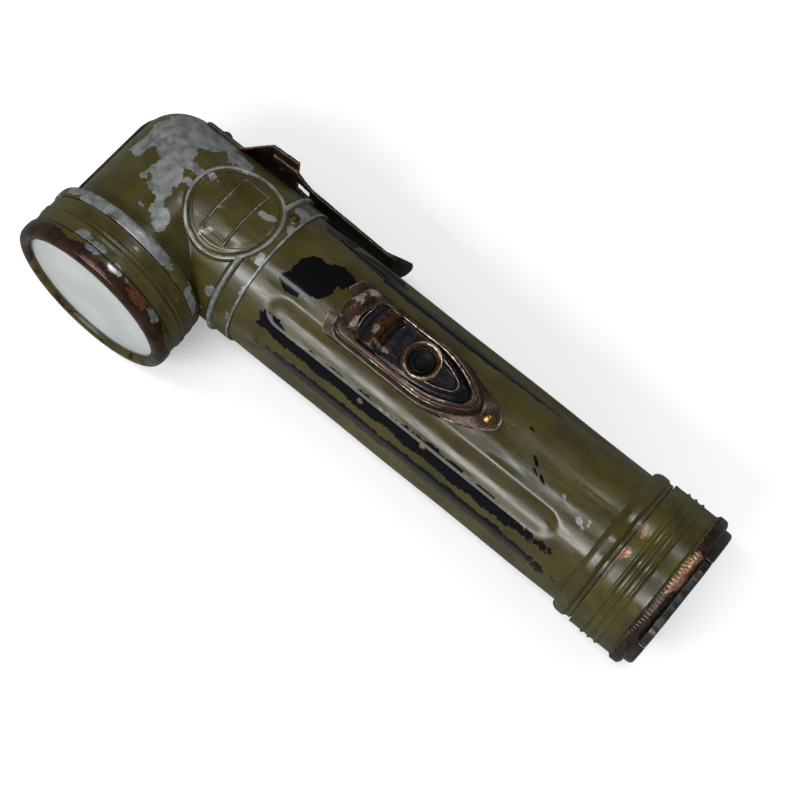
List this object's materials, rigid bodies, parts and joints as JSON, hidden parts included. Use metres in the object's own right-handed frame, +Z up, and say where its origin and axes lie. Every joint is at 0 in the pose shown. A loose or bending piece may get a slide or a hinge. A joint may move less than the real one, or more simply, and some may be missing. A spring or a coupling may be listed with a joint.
{
  "type": "signal lamp",
  "caption": "Right-angle-head metal hand lamp with a fluted tube, slide switch with signal button, belt clip, screwed lens ring and screwed tail cap with hanger ring.",
  "frame": {"origin": "under the middle of the lamp's box, on the table that it lies on, with the tube level", "axes": "+X along the tube from the head to the tail cap, -Y the way the lens faces, +Z up, the side of the switch"},
  "size_m": [0.1814, 0.0608, 0.0472],
  "materials": {
    "olive_paint": "glossy olive drab enamel, worn to bare steel on the high places",
    "worn_copper_steel": "dark copper-brown oxidised plating with the paint worn off",
    "dark_steel": "blackened steel, satin",
    "black_switch": "black, worn coppery on the high places",
    "brass": "aged brass",
    "spring_steel": "bright drawn wire and sheet",
    "cell_jacket": "plain printed metal jacket, stands in for a dry cell's weight",
    "reflector_silver": "silvered bowl",
    "clear_glass": "clear",
    "fibre": "red-brown vulcanised fibre",
    "gasket_rubber": "black"
  },
  "bodies": {
    "lamp": {"head_shell_upper": "olive_paint", "head_shell_lower": "olive_paint", "head_seam_strip": "dark_steel", "collar_rivets": "worn_copper_steel", "neck_collar": "olive_paint", "bulb_glass": "clear_glass", "bulb_base": "brass", "bulb_filament": "spring_steel", "bulb_contact": "spring_steel", "bulb_socket": "brass", "socket_plate": "fibre", "contact_strip": "brass", "insulator_disc": "fibre", "head_contact": "brass", "battery_front": "cell_jacket", "battery_rear": "cell_jacket", "battery_caps": "brass", "barrel_tube": "olive_paint", "tail_ferrule": "olive_paint", "switch_housing": "worn_copper_steel", "switch_insulator": "fibre", "signal_contact": "brass", "contact_spacer": "fibre", "plate_rivet": "brass", "clip_bracket": "olive_paint", "clip_rivets": "dark_steel", "strap_rivets": "dark_steel"},
    "tail_spring": {"spring_cup": "spring_steel", "battery_spring": "spring_steel"},
    "tail_cap": {"tail_cap": "olive_paint", "tail_end_plate": "dark_steel", "hanger_pin": "dark_steel"},
    "hanger_ring": {"hanger_ring": "olive_paint"},
    "lens_pack": {"lens_glass": "clear_glass", "lens_gasket": "gasket_rubber", "reflector": "reflector_silver"},
    "lens_ring": {"lens_ring": "worn_copper_steel"},
    "switch_slide": {"switch_slider": "black_switch", "button_guard": "worn_copper_steel", "button_spring": "spring_steel"},
    "signal_button": {"signal_button": "black_switch"},
    "belt_clip": {"belt_clip": "dark_steel"}
  },
  "joints": [
    {"name": "tail_cap_travel", "type": "slide", "parent": "lamp", "child": "tail_spring", "axis": [1, 0, 0], "range_m": [0, 0.0104], "deforming": ["battery_spring"]},
    {"name": "tail_cap_turn", "type": "hinge", "parent": "tail_spring", "child": "tail_cap", "pos_m": [0.0884, 0.00551, 0.0236], "axis": [1, 0, 0], "range_deg": [0, 1800]},
    {"name": "hanger_swing", "type": "hinge", "parent": "tail_cap", "child": "hanger_ring", "pos_m": [0.08965, 0.01012, 0.01416], "axis": [0, 0.8988, 0.4384], "range_deg": [0, 105]},
    {"name": "lens_ring_travel", "type": "slide", "parent": "lamp", "child": "lens_pack", "axis": [0, -1, 0], "range_m": [0, 0.0079]},
    {"name": "lens_ring_turn", "type": "hinge", "parent": "lens_pack", "child": "lens_ring", "pos_m": [-0.0671, -0.03039, 0.0236], "axis": [0, -1, 0], "range_deg": [0, 1404]},
    {"name": "switch_travel", "type": "slide", "parent": "lamp", "child": "switch_slide", "axis": [1, 0, 0], "range_m": [0, 0.0024]},
    {"name": "signal_press", "type": "slide", "parent": "switch_slide", "child": "signal_button", "axis": [0, 0.0785, -0.9969], "range_m": [0, 0.0011], "stiffness_N_per_m": 600, "springref_m": -0.0006, "deforming": ["button_spring"]},
    {"name": "clip_flex", "type": "hinge", "parent": "lamp", "child": "belt_clip", "pos_m": [-0.0545, 0.02716, 0.0236], "axis": [0, 0, 1], "range_deg": [0, 5], "stiffness_Nm_per_rad": 3}
  ],
  "couplings": [
    {"joint": "tail_cap_travel", "follows": "tail_cap_turn", "m_per_rad": 0.00032786},
    {"joint": "lens_ring_travel", "follows": "lens_ring_turn", "m_per_rad": 0.00031831}
  ]
}
